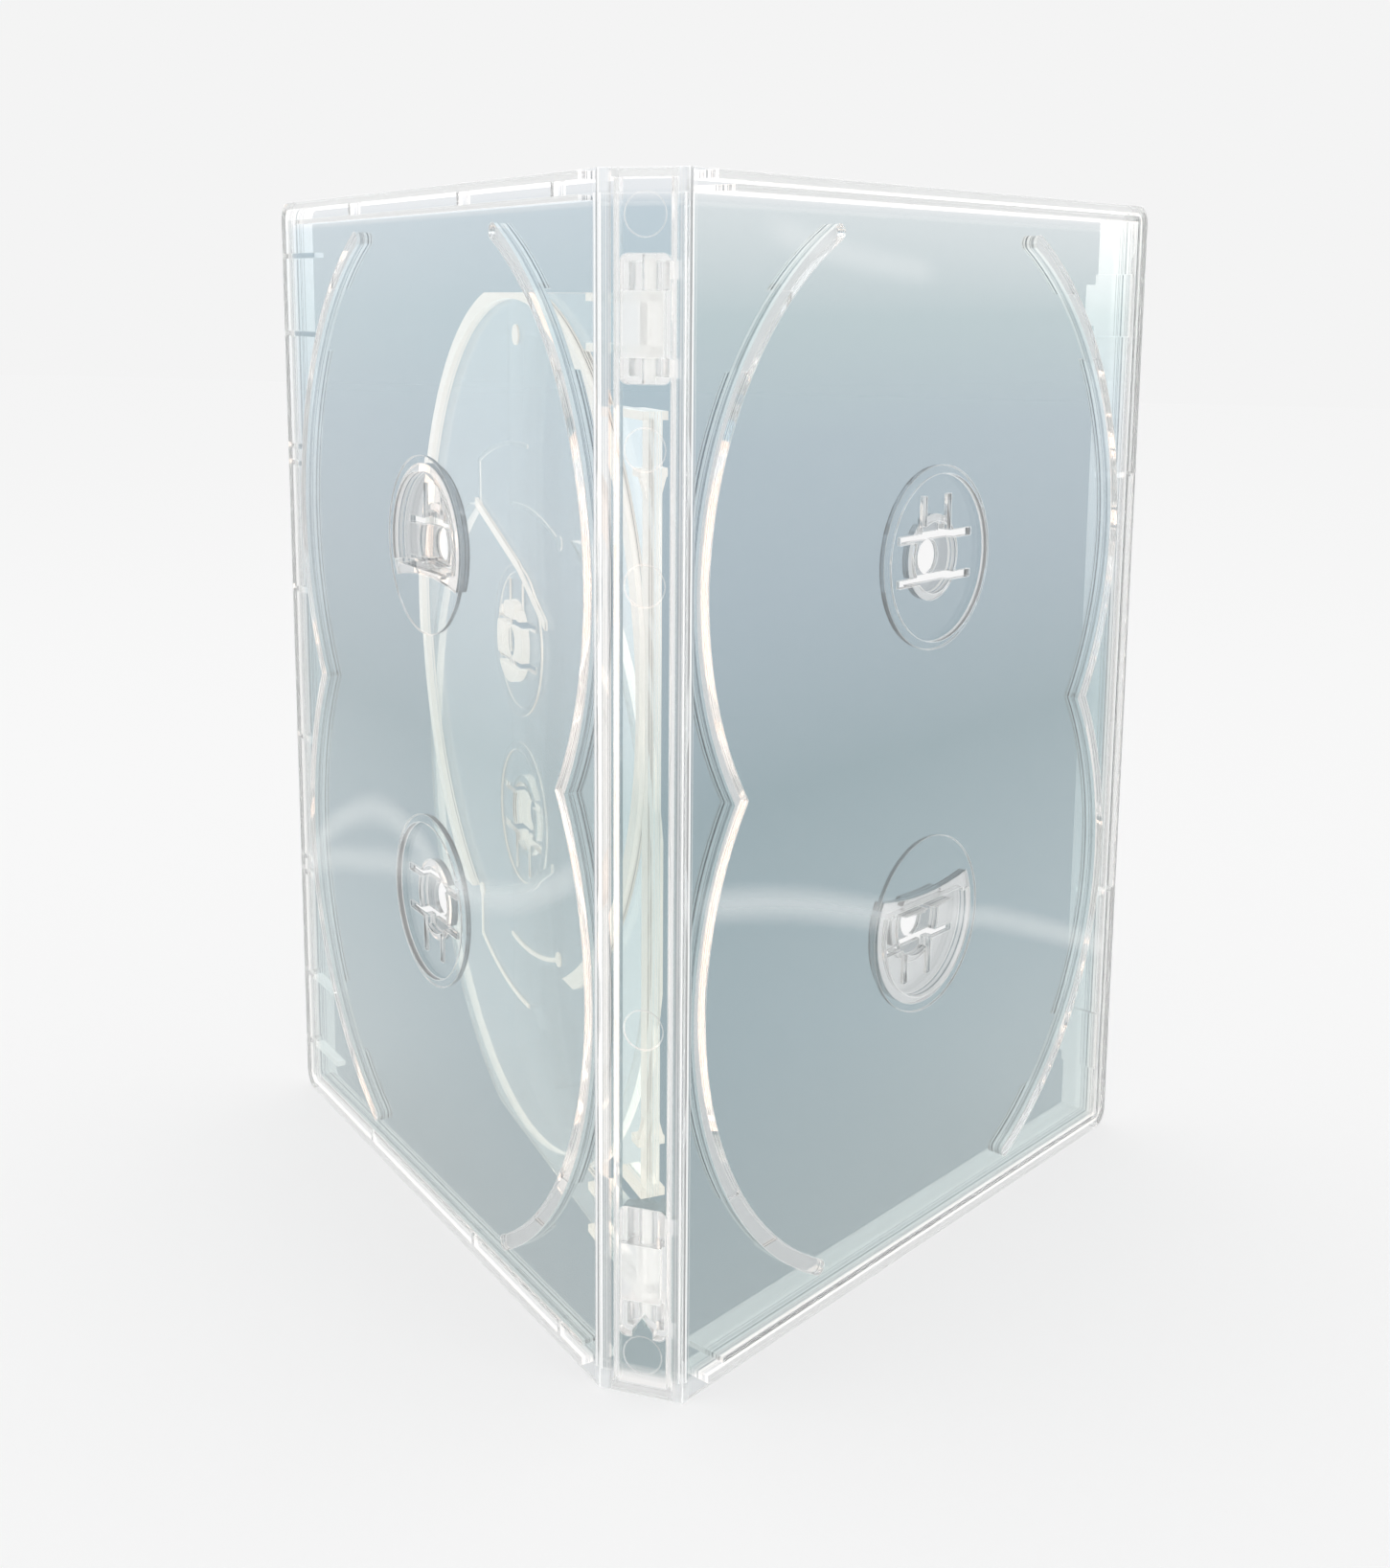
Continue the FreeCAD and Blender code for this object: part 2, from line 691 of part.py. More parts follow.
def tray_web():
    """The plate: two overlapping rounds and the stretch that runs back to the pivots."""
    wall = ("-tray_wall/2", "tray_wall/2")
    rounds = [round_through(f"tray_round_{name}", "tray_reach", hub, "tray_radius", wall)
              for name, (hub, side) in TRAY_HUBS.items()]
    waist = block("tray_waist", ("tray_reach", "tray_reach + tray_radius"), wall,
                  (TRAY_HUBS["lower"][0], TRAY_HUBS["upper"][0]))
    link = block("tray_link", ("0", "tray_reach"), wall, LINK_ENDS)
    arms = [block("tray_arm_low", ("0", "tray_reach"), wall,
                  (TRAY_BOTTOM, f"{TRAY_BOTTOM} + arm_height")),
            block("tray_arm_high", ("0", "tray_reach"), wall,
                  (f"{TRAY_TOP} - arm_height", TRAY_TOP))]
    trim = block("tray_trim", ("0", "tray_reach + tray_radius"), wall, (TRAY_BOTTOM, TRAY_TOP))
    plate = joined("tray_plate", rounds + [waist, link] + arms)
    return shared("tray_web", plate, trim)


def tray_guide(name):
    """The ridge round one disc, cut off where the other disc's edge passes."""
    hub, side = TRAY_HUBS[name]
    depth = facing(side, "0", "tray_half_depth")
    ring = less(f"tray_ring_{name}",
                round_through("tray_ring_out", "tray_reach", hub, "tray_radius", depth),
                round_through("tray_ring_in", "tray_reach", hub, "tray_radius - tray_guide_wall",
                              ("-tray_radius", "tray_radius")))
    ends = (f"{hub} - tray_guide_past", TRAY_TOP)
    if side < 0:
        ends = (TRAY_BOTTOM, f"{hub} + tray_guide_past")
    stretch = block(f"tray_ring_part_{name}", ("0", "tray_reach + tray_radius"),
                    ("-tray_radius", "tray_radius"), ends)
    return shared(f"tray_guide_{name}", ring, stretch)


def tray_scores(name):
    """Shallow lines beyond this hub's seat that mark where its disc's rim lies on the plate."""
    hub, side = TRAY_HUBS[name]
    way = "-" if side > 0 else "+"
    depth = facing(side, "0", "tray_wall/2 + score_height")
    marks = []
    for part in ("inner", "outer"):
        radius = f"{part}_score_radius"
        ring = less("tray_score_ring",
                    round_through("tray_score_out", "tray_reach", hub, f"{radius} + score_width/2",
                                  depth),
                    round_through("tray_score_in", "tray_reach", hub, f"{radius} - score_width/2",
                                  ("-tray_radius", "tray_radius")))
        ends = ("tray_bottom_room", hub) if side > 0 else (hub, TRAY_TOP)
        stretch = block("tray_score_part", (f"tray_reach - {part}_score_near",
                                            f"tray_reach + {part}_score_far"),
                        ("-tray_radius", "tray_radius"), ends)
        marks.append(shared(f"tray_score_{name}", ring, stretch))
    near = f"{hub} {way} sqrt(inner_score_radius^2 - inner_score_near^2)"
    marks.append(round_through("tray_spot_near", "tray_reach - inner_score_near", near,
                               "spot_radius", depth))
    far = f"{hub} {way} sqrt(outer_score_radius^2 - outer_score_far^2)"
    back = "-" if way == "+" else "+"
    hook_end = f"{far} {back} score_hook"
    hook = (hook_end, far) if back == "-" else (far, hook_end)
    marks.append(block("tray_score_hook", ("tray_reach + outer_score_far - score_width",
                                           "tray_reach + outer_score_far"), depth, hook))
    marks.append(round_through("tray_spot_far", "tray_reach + outer_score_far - score_width/2",
                               hook_end, "spot_radius", depth))
    return marks


def lift_line(name):
    """The bent ridge beside a seat, where a finger lifts the disc."""
    hub, side = TRAY_HUBS[name]
    way = "-" if side < 0 else "+"
    body = doc.addObject("PartDesign::Body", f"lift_line_{name}")
    bends = [("tray_reach + lift_far", f"{hub} {way} lift_far_drop"),
             ("tray_reach - lift_bend", f"{hub} {way} lift_bend_drop"),
             ("tray_reach - lift_near", f"{hub} {way} lift_near_drop")]
    upper = [(across, f"{height} + lift_line_wall/2") for across, height in bends]
    lower = [(across, f"{height} - lift_line_wall/2") for across, height in reversed(bends)]
    face = outline(body, f"lift_outline_{name}", "XZ_Plane", upper + lower)
    pad(body, f"lift_height_{name}", face, "tray_wall/2 + 2*score_height", side > 0)
    return body


def tray_hub(name):
    hub, side = TRAY_HUBS[name]
    seat_top = "tray_wall/2 + tray_seat_rise"
    solids = [
        round_through(f"tray_seat_{name}", "tray_reach", hub, "tray_seat_radius",
                      facing(side, "0", seat_top)),
        round_through(f"tray_button_{name}", "tray_reach", hub, "button_radius",
                      facing(side, "0", "tray_button_top")),
    ]
    cuts = [
        round_through(f"tray_recess_{name}", "tray_reach", hub, "tray_seat_radius - seat_wall",
                      facing(side, "-tray_wall", f"{seat_top} - tray_wall")),
        round_through(f"tray_hollow_{name}", "tray_reach", hub, "button_radius - button_wall",
                      facing(side, "-tray_wall", "tray_button_top - button_cap")),
    ]
    cuts += hub_slots(f"tray_slot_{name}", "tray_reach", hub, side,
                      ("-2*tray_half_depth", "2*tray_half_depth"))
    return solids, cuts


def cross_rib(end, low_rib):
    """A plate across the beam, with a tapered gusset towards the middle of the tray."""
    inset = f"({end} + cross_rib_inset)" if low_rib else f"({end} - cross_rib_inset)"
    away = "+" if low_rib else "-"
    plate = block("tray_cross_rib", ("-beam_half_depth/2", "cross_rib_reach"),
                  ("-cross_rib_half_depth", "cross_rib_half_depth"),
                  (f"{inset} - arm_rib/2", f"{inset} + arm_rib/2"))
    body = doc.addObject("PartDesign::Body", "tray_gusset")
    wide = "cross_rib_half_depth"
    slim = "beam_half_wall/2"
    top = f"{inset} {away} cross_rib_gusset"
    face = outline(body, "tray_gusset_outline", "YZ_Plane",
                   [(f"-{wide}", inset), (wide, inset), (slim, top), (f"-{slim}", top)])
    pad(body, "tray_gusset_wall", face, "beam_half_depth", both_ways=True)
    return [plate, body]


def tray_frame():
    """The beam along the pivot line, the ribs of the arms, the knuckles and the pins."""
    low, high = LINK_ENDS
    thick = ("-tray_half_depth", "tray_half_depth")
    rib = "arm_rib"
    plates = ("-beam_half_depth", "plate_end_reach")
    solids = [
        block("tray_beam", ("-beam_half_depth", "beam_half_depth"),
              ("-beam_half_wall", "beam_half_wall"), (low, high)),
        block("tray_foot", plates, thick, (low, f"{low} + {rib}")),
        block("tray_head", plates, thick, (f"{high} - {rib}", high)),
        round_through("tray_arm_mark", "tray_reach", f"{TRAY_TOP} - tray_mark_drop",
                      "tray_mark_radius", ("0", "tray_wall/2 + score_height")),
    ]
    solids += cross_rib(low, True) + cross_rib(high, False)
    arms = {"top": (f"{TRAY_TOP} - arm_height", TRAY_TOP),
            "bottom": (TRAY_BOTTOM, f"{TRAY_BOTTOM} + arm_height")}
    for name, (arm_low, arm_high) in arms.items():
        clip_low, clip_high = CLIPS[name]
        solids.append(upright(f"tray_knuckle_{name}", "0", "0", "knuckle_radius",
                              (arm_low, arm_high)))
        solids.append(upright(f"tray_pin_{name}", "0", "0", "pin_radius",
                              (f"{clip_low} + pin_end_clearance",
                               f"{clip_high} - pin_end_clearance")))
        solids.append(block(f"tray_arm_rib_{name}_under", ("0", "arm_rib_length/2"), thick,
                            (arm_low, f"{arm_low} + {rib}")))
        solids.append(block(f"tray_arm_rib_{name}_over", ("0", "arm_rib_length/2"), thick,
                            (f"{arm_high} - {rib}", arm_high)))
    return solids


def flip_tray():
    solids = [tray_web()] + tray_frame()
    cuts = []
    for name in TRAY_HUBS:
        solids.append(tray_guide(name))
        solids += tray_scores(name)
        solids.append(lift_line(name))
        hub_solids, hub_cuts = tray_hub(name)
        solids += hub_solids
        cuts += hub_cuts
    piece = less("flip_tray", joined("tray_solid", solids), joined("tray_cuts", cuts))
    piece.Label = "flip_tray"
    piece.Placement = Placement(Vector(), Rotation(Vector(0, 0, 1), 90))
    tie(piece, Placement__Rotation__Angle="90 + tray_open_angle")
    return piece


def spine_film():
    """The stretch of the sleeve over the spine."""
    piece = block("sleeve_spine", ("film_fold_gap - spine_width/2", "spine_width/2 - film_fold_gap"),
                  (f"{BACK} - film_gap - film_wall", f"{BACK} - film_gap"),
                  ("film_edge", "case_height - film_edge"))
    piece.Label = "sleeve_spine"
    return piece


pieces = [
    stand_left(cover("left", groove_rim)),
    stand_right(cover("right", tongue_rim)),
    spine(),
    flip_tray(),
    stand_left(film("left")),
    stand_right(film("right")),
    spine_film(),
]
doc.recompute()

# Every object must have computed, and every piece must be one valid solid

for thing in doc.Objects:
    if "Invalid" in thing.State or "Error" in thing.State:
        raise RuntimeError(f"{thing.Name} did not compute: {thing.State}")
for piece in pieces:
    if piece.Shape.isNull() or not piece.Shape.isValid():
        raise RuntimeError(f"{piece.Label} has no valid shape")

os.makedirs("parts", exist_ok=True)
for piece in pieces:
    piece.Shape.exportStep(os.path.join("parts", f"{piece.Label}.step"))
    box = piece.Shape.BoundBox
    print(f"{piece.Label}: {len(piece.Shape.Solids)} solid, {piece.Shape.Volume:.0f} mm3, "
          f"x {box.XMin:.1f}..{box.XMax:.1f} y {box.YMin:.1f}..{box.YMax:.1f} "
          f"z {box.ZMin:.1f}..{box.ZMax:.1f}")
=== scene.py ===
# %% [markdown]
# # A clear disc case, standing open
# The case is moulded in clear plastic and opens like a book.  Two covers hang on a narrow
# spine by thin folds, a flip tray turns on pins inside the spine, and a clear film sleeve is
# welded round the outside.  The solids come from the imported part, in metres.  This script
# gives them their finishes, adds a few thin ribs, and sets up the light and the camera.

import math

import bmesh
import bpy
from mathutils import Matrix, Vector


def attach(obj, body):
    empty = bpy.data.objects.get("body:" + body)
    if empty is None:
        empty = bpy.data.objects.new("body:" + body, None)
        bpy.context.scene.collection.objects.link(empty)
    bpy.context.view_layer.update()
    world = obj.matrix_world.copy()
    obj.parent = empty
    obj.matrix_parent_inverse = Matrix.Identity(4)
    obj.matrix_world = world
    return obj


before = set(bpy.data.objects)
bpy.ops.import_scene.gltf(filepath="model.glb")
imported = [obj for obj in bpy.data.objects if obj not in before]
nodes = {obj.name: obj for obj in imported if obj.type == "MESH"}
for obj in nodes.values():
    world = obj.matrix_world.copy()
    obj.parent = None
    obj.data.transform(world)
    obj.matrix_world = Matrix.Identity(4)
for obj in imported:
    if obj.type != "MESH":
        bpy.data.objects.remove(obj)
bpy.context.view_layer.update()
MM = 0.001
print("nodes:", ", ".join(sorted(nodes)))

# %% [markdown]
# ## The camera
# The case is 190 mm tall, so the picture's frame can be worked back to where the camera
# stood: a little right of the spine, near the top edge of the covers, looking down by ten
# degrees.  A small shift moves the frame, because the picture was cut closer on one side.

# %% Place the camera
CAMERA_PLACE = Vector((0.09173, -0.25433, 0.17181))
CAMERA_TURN = math.radians(18.17)
CAMERA_DIP = math.radians(10.02)
CAMERA_LEAN = math.radians(0.48)
LENS_MM = 42.16
FRAME_SHIFT = (-0.0066, -0.103)

camera_data = bpy.data.cameras.new("camera")
camera_data.lens = LENS_MM
camera_data.shift_x, camera_data.shift_y = FRAME_SHIFT
camera = bpy.data.objects.new("camera", camera_data)
bpy.context.scene.collection.objects.link(camera)
camera.location = CAMERA_PLACE
camera.rotation_euler = (
    Matrix.Rotation(CAMERA_TURN, 4, "Z")
    @ Matrix.Rotation(math.radians(90) - CAMERA_DIP, 4, "X")
    @ Matrix.Rotation(CAMERA_LEAN, 4, "Z")
).to_euler()
bpy.context.scene.camera = camera
print("camera at", [round(v, 3) for v in camera.location])

# %% [markdown]
# ## Helpers for the finishes
# A finish is a small tree of nodes.  These few functions add a node, wire it and return it,
# so that each finish below reads as a short recipe.  An input may be a number or another
# node's output, and the helpers treat both alike.

# %% Node helpers
def new_finish(name):
    """A material with only its Principled shader and output."""
    finish = bpy.data.materials.new(name)
    finish.use_nodes = True
    return finish, finish.node_tree, finish.node_tree.nodes["Principled BSDF"]


def node(tree, kind, inputs=(), **settings):
    """A node with settings, whose inputs are numbers, colours or other nodes' outputs."""
    made = tree.nodes.new(kind)
    for key, value in settings.items():
        setattr(made, key, value)
    for key, value in dict(inputs).items():
        if isinstance(value, bpy.types.NodeSocket):
            tree.links.new(value, made.inputs[key])
        else:
            made.inputs[key].default_value = value
    return made


def maths(tree, operation, first, second=0.0, third=0.0):
    """One Math node's result."""
    made = node(tree, "ShaderNodeMath", {0: first, 1: second, 2: third}, operation=operation)
    return made.outputs[0]


def times(tree, first, *others):
    """All the values multiplied."""
    for other in others:
        first = maths(tree, "MULTIPLY", first, other)
    return first


def most(tree, first, *others):
    """The highest of the values."""
    for other in others:
        first = maths(tree, "MAXIMUM", first, other)
    return first


def less(tree, first, second):
    """The first value with the second taken off."""
    return maths(tree, "SUBTRACT", first, second)


def scaled(tree, value, start, end, low=0.0, high=1.0, **settings):
    """The value carried from the range start to end to the range low to high, and kept in it."""
    made = node(tree, "ShaderNodeMapRange", {0: value, 1: start, 2: end, 3: low, 4: high},
                **settings)
    return made.outputs[0]


def blend(tree, kind, slots, factor, first, second):
    """What a Mix node of this kind gives between two values or colours."""
    factor_slot, first_slot, second_slot, result_slot = slots
    inputs = {factor_slot: factor, first_slot: first, second_slot: second}
    return node(tree, "ShaderNodeMix", data_type=kind, inputs=inputs).outputs[result_slot]


def blend_value(tree, factor, first, second):
    """A number between two, by factor."""
    return blend(tree, "FLOAT", (0, 2, 3, 0), factor, first, second)


def blend_colour(tree, factor, first, second):
    """A colour between two, by factor."""
    first, second = (colour if isinstance(colour, bpy.types.NodeSocket) else (*colour, 1)
                     for colour in (first, second))
    return blend(tree, "RGBA", (0, 6, 7, 2), factor, first, second)


# %% [markdown]
# ## Studio
# The case stands on an even pale ground with no horizon.  A wide floor and the world both
# have that colour wherever they are seen, straight, mirrored or through the plastic, and the
# floor keeps a part of its shading so that the case still stands on it.

# %% Floor
FLOOR_HALF = 3.0

floor_bm = bmesh.new()
bmesh.ops.create_grid(floor_bm, x_segments=1, y_segments=1, size=FLOOR_HALF)
floor_mesh = bpy.data.meshes.new("floor")
floor_bm.to_mesh(floor_mesh)
floor_bm.free()
floor = bpy.data.objects.new("floor", floor_mesh)
bpy.context.scene.collection.objects.link(floor)
print("floor is", 2 * FLOOR_HALF, "m wide")

# %% Ground colour and world
PALE = 0.905
FLOOR_GLOW, FLOOR_TRACE = 0.932, 0.3
WORLD_LEVEL = 0.95


def grey(level):
    """An even grey of this level."""
    return (level, level, level, 1)


def seen_ray(tree):
    """1 for rays that show the ground to the eye, directly, mirrored or through clear plastic."""
    path = tree.nodes.new("ShaderNodeLightPath").outputs
    return most(tree, path["Is Camera Ray"], path["Is Glossy Ray"], path["Is Transmission Ray"])


ground, ground_tree, ground_shader = new_finish("ground")
ground_shader.inputs["Base Color"].default_value = grey(PALE)
ground_shader.inputs["Roughness"].default_value = 1.0
ground_shader.inputs["Specular IOR Level"].default_value = 0.0
ground_glow = node(ground_tree, "ShaderNodeEmission", {"Color": grey(FLOOR_GLOW)})
glow_share = times(ground_tree, seen_ray(ground_tree), 1 - FLOOR_TRACE)
ground_mix = node(ground_tree, "ShaderNodeMixShader",
                  {0: glow_share, 1: ground_shader.outputs[0], 2: ground_glow.outputs[0]})
ground_tree.links.new(ground_mix.outputs[0], ground_tree.nodes["Material Output"].inputs[0])
floor.data.materials.append(ground)

world = bpy.data.worlds.new("studio")
world.use_nodes = True
sky = world.node_tree
sky_lit = sky.nodes["Background"]
sky_lit.inputs["Color"].default_value = grey(WORLD_LEVEL)
sky_seen = node(sky, "ShaderNodeBackground", {"Color": grey(PALE)})
sky_mix = node(sky, "ShaderNodeMixShader",
               {0: seen_ray(sky), 1: sky_lit.outputs[0], 2: sky_seen.outputs[0]})
sky.links.new(sky_mix.outputs[0], sky.nodes["World Output"].inputs[0])
bpy.context.scene.world = world
bpy.context.scene.view_settings.view_transform = "Standard"
print("ground and world at", PALE)

# %% [markdown]
# ## Where a face is on its part
# The solids are stored in the pose of the picture, with the covers and the tray already
# turned.  A Mapping node turned the same way, of the texture kind, gives back each part's own
# coordinates: across from its fold, the depth behind its outer face, and the height.  The
# left cover is the right one mirrored, so its depth is counted the other way.

# %% Places of the parts
CASE_TOP = 190 * MM
HINGE_X, HINGE_Y = 7 * MM, -4.5 * MM
RIGHT_OPEN = math.radians(67.4)
LEFT_OPEN = math.radians(180 - 40.0)
TRAY_OPEN = math.radians(90 + 41.5)


def along(tree, place, turn=0.0, flip=1.0):
    """Coordinates of a part turned about Z at place: x across it and y through its wall."""
    here = tree.nodes.new("ShaderNodeTexCoord")
    turned = node(tree, "ShaderNodeMapping",
                  {"Vector": here.outputs["Object"], "Location": place,
                   "Rotation": (0, 0, turn), "Scale": (1, flip, 1)}, vector_type="TEXTURE")
    return node(tree, "ShaderNodeSeparateXYZ", {0: turned.outputs[0]}).outputs


def place_on_right(tree):
    return along(tree, (HINGE_X, HINGE_Y, 0), RIGHT_OPEN)


def place_on_left(tree):
    return along(tree, (-HINGE_X, HINGE_Y, 0), LEFT_OPEN, -1.0)


def place_on_spine(tree):
    return along(tree, (0, HINGE_Y, 0))


def place_on_tray(tree):
    across, depth, height = along(tree, (0, 0, 0), TRAY_OPEN)
    return across, maths(tree, "ABSOLUTE", depth), height


print("the folds are", round(2 * HINGE_X / MM, 1), "mm apart")

# %% [markdown]
# ## Faces and edges
# A moulding is clear where it is flat sheet and made milky white where it is thick, a painted
# highlight that stands in for the light clear plastic reflects inside its ribs, rims and hubs.
# Depth tells the two apart: the flat faces lie at a few known depths, and every other face belongs
# to a rib, a rim or a hub.  Edges are found by comparing a rounded normal with the true one, since
# a moulded edge is never sharp; the pale line it shows is painted on as a highlight.

# %% Finding faces and edges
FLAT_TOLERANCE = 0.06 * MM
EDGE_WIDTH = 0.3 * MM
EDGE_BEND = (0.01, 0.12)
COVER_BEVEL, SPINE_FLAT_HALF = 1.5 * MM, 5.25 * MM


def at_depths(tree, depth, levels):
    """1 on faces that lie at one of these depths in mm, and 0 elsewhere."""
    found = (maths(tree, "COMPARE", depth, level * MM, FLAT_TOLERANCE) for level in levels)
    return most(tree, 0.0, *found)


def near_edges(tree):
    """1 close to the edges of the solid, where a moulding is rounded and catches the light."""
    rounded = node(tree, "ShaderNodeBevel", {"Radius": EDGE_WIDTH}, samples=3)
    true = tree.nodes.new("ShaderNodeNewGeometry")
    facing = node(tree, "ShaderNodeVectorMath",
                  {0: rounded.outputs[0], 1: true.outputs["True Normal"]},
                  operation="DOT_PRODUCT")
    return scaled(tree, less(tree, 1.0, facing.outputs["Value"]), *EDGE_BEND)


def near_fold(tree, across):
    """1 on a cover's bevelled edge along its fold."""
    return maths(tree, "LESS_THAN", across, COVER_BEVEL)


def beside_fold(tree, across):
    """1 on the spine's bevelled edges along both folds."""
    return maths(tree, "GREATER_THAN", maths(tree, "ABSOLUTE", across), SPINE_FLAT_HALF)


print("edges are", round(EDGE_WIDTH / MM, 2), "mm wide")

# %% [markdown]
# ## Tint with painted reflection, and milky white
# Clear sheet shows a cool blue-grey that changes slowly with height: a slight tint with a painted
# reflection of a dark surrounding, darkest at mid height and pale at the very foot and top.  So
# each finish has a short list of colours, placed by shares of the case's height.  A colour ramp is
# enough for that.  Faces at the rim and in the folds carry less of it, and fine pleats along the
# folds carry more, as painted shade lines.

# %% Tints and painted reflection by height
# Tint and painted reflection of a dark surrounding, as shares of the case's height: darkest at mid
# height
SHEET_TINT_AND_REFLECTION = (
    (0.013, (0.85, 0.89, 0.92)), (0.021, (0.17, 0.25, 0.27)), (0.27, (0.114, 0.194, 0.229)),
    (0.5, (0.073, 0.139, 0.169)), (0.67, (0.14, 0.22, 0.28)), (0.79, (0.185, 0.28, 0.35)),
    (0.89, (0.26, 0.39, 0.43)), (0.972, (0.54, 0.65, 0.69)), (0.985, (0.88, 0.91, 0.95)),
)
LEFT_TINT_AND_REFLECTION = SHEET_TINT_AND_REFLECTION[:5] + (
    (0.79, (0.175, 0.28, 0.36)), (0.89, (0.22, 0.36, 0.44)),
    (0.972, (0.31, 0.45, 0.55)), (0.985, (0.84, 0.89, 0.95)),
)
TRAY_TINTS = ((0.0, (0.93, 0.95, 0.95)), (1.0, (0.96, 0.97, 0.97)))
BORDER_START, BORDER_END, BORDER_SHARE = 127 * MM, 131 * MM, 0.65
# Soft and fold faces: their share of the tone, and a milky white that stands in for light reflected
# inside, a painted highlight.
SOFT_SHARE, SOFT_MILKY_HIGHLIGHT = 0.48, 0.16
FOLD_SHARE, FOLD_MILKY_HIGHLIGHT = 0.16, 0.36
# Pleats are thin lines that carry more of the tone: painted shade.
PLEAT_WIDTH, PLEAT_SHADE_SHARE = 0.1 * MM, 0.6


def by_height(tree, height, stops):
    """A colour that changes with height, from stops given as shares of the case's height."""
    made = node(tree, "ShaderNodeValToRGB", {0: maths(tree, "DIVIDE", height, CASE_TOP)})
    for _ in stops[2:]:
        made.color_ramp.elements.new(0.5)
    for element, (place, colour) in zip(made.color_ramp.elements, stops):
        element.position = place
        element.color = (*colour, 1)
    return made.outputs[0]


def tint_and_reflection_share(tree, across, faces, pleats):
    """How much of the tint and painted reflection a face carries, from 0 to 1."""
    toned, _, soft, _, edges, fold = faces
    border = scaled(tree, across, BORDER_START, BORDER_END, 1.0, BORDER_SHARE)
    share = most(tree, toned, times(tree, soft, SOFT_SHARE))
    share = times(tree, share, less(tree, 1.0, edges), border)
    share = blend_value(tree, fold, share, FOLD_SHARE)
    # Painted shade lines along the pleats.
    for pleat in pleats:
        line = maths(tree, "COMPARE", maths(tree, "ABSOLUTE", across), pleat * MM, PLEAT_WIDTH)
        share = most(tree, share, times(tree, line, PLEAT_SHADE_SHARE))
    return share


def milky_highlight(tree, faces, thick_milky_highlight, edge):
    """How much of the light a face scatters rather than lets through, from 0 to 1: milky white on
    thick faces, edges and folds, painted to stand in for light reflected inside them.
    """
    _, _, soft, thick, edges, fold = faces
    milky_light = most(tree, times(tree, thick, thick_milky_highlight), times(tree, edges, edge),
                times(tree, soft, SOFT_MILKY_HIGHLIGHT))
    return blend_value(tree, fold, milky_light, FOLD_MILKY_HIGHLIGHT)


print(len(SHEET_TINT_AND_REFLECTION), "tints from foot to top")

# %% [markdown]
# ## Light in the plastic
# Clear plastic gathers light and lets it out at its ribs, rims and edges.  Following that
# light would take very long renders, so those faces carry a small light of their own.  Faces
# that look up get the lamps' full light already and carry none.  What is seen through another
# clear wall gets a second one, because the wall's tint would otherwise darken it too much.
# Light Path tells when a ray has come through a wall, wherever the camera stands, and its
# Diffuse Depth keeps that light from shining on the other parts.

# %% Own light of thick parts
WHITE = (0.955, 0.96, 0.957)
CREAM = (0.985, 0.97, 0.935)
WARM, WARMER = (1.0, 0.88, 0.81), (1.0, 0.76, 0.63)
LOOKS_UP = (0.6, 0.95)
HUB_REACH, HUB_FROM_MIDDLE, GUIDE_END = 66 * MM, 33 * MM, 88 * MM
# distance from a hub's middle in mm from which each strength holds
COVER_GLOW = ((0.0, 0.08), (20.0, 0.4), (59.2, 0.65), (64.5, 0.72))


def own_light(tree, faces, shape, gather, edge_glow):
    """The light of thick parts and edges, on faces that don't look up."""
    _, _, _, thick, edges, _ = faces
    facing_up = node(tree, "ShaderNodeSeparateXYZ", {0: shape["Normal"]}).outputs[2]
    light = most(tree, times(tree, thick, gather), times(tree, edges, edge_glow))
    return times(tree, light, scaled(tree, facing_up, *LOOKS_UP, 1.0, 0.0))


def by_reach(tree, across, from_middle, steps):
    """A number that changes in steps with the distance from the nearest hub's middle."""
    if isinstance(steps, float):
        return steps
    up = less(tree, from_middle, HUB_FROM_MIDDLE)
    out = less(tree, across, HUB_REACH)
    reach = maths(tree, "SQRT", maths(tree, "ADD", times(tree, up, up), times(tree, out, out)))
    past_guide = maths(tree, "GREATER_THAN", from_middle, GUIDE_END)
    reach = maths(tree, "ADD", reach, times(tree, past_guide, HUB_REACH))
    level = steps[0][1]
    for start, value in steps[1:]:
        level = blend_value(tree, maths(tree, "GREATER_THAN", reach, start * MM), level, value)
    return level


print("glow steps at", [start for start, _ in COVER_GLOW], "mm from a hub")

# %% [markdown]
# ## The tray's own light
# From the front, the tray stands behind a cover or the spine, so its flat plate and the beam
# beside its pins carry some of that second light too.  The arms, which sit inside the clips,
# carry less, and so does the top, where the covers' tint is pale.

# %% Light of the tray
PIVOT_FADE = (10 * MM, 19 * MM)
ARM_FROM_MIDDLE, ARM_SHARE = 63 * MM, 0.22
PLATE_SHARE, BEAM_SHARE, TOP_SHARE = 0.23, 0.6, 0.62
TOP_FADE = (130 * MM, 175 * MM)


def tray_light(tree, across, height, from_middle, lift):
    """The tray's share of the light from behind a wall, its strength, and where its arms are."""
    near_pivot = scaled(tree, across, *PIVOT_FADE, 1.0, 0.0)
    at_arm = maths(tree, "GREATER_THAN", from_middle, ARM_FROM_MIDDLE)
    arms = times(tree, near_pivot, at_arm)
    beam = times(tree, near_pivot, less(tree, 1.0, at_arm))
    lift = most(tree, lift, times(tree, beam, BEAM_SHARE), PLATE_SHARE)
    strength = times(tree, blend_value(tree, arms, 1.0, ARM_SHARE),
                     scaled(tree, height, *TOP_FADE, 1.0, TOP_SHARE))
    return lift, strength, arms


print("the arms lie more than", round(ARM_FROM_MIDDLE / MM), "mm from the middle")

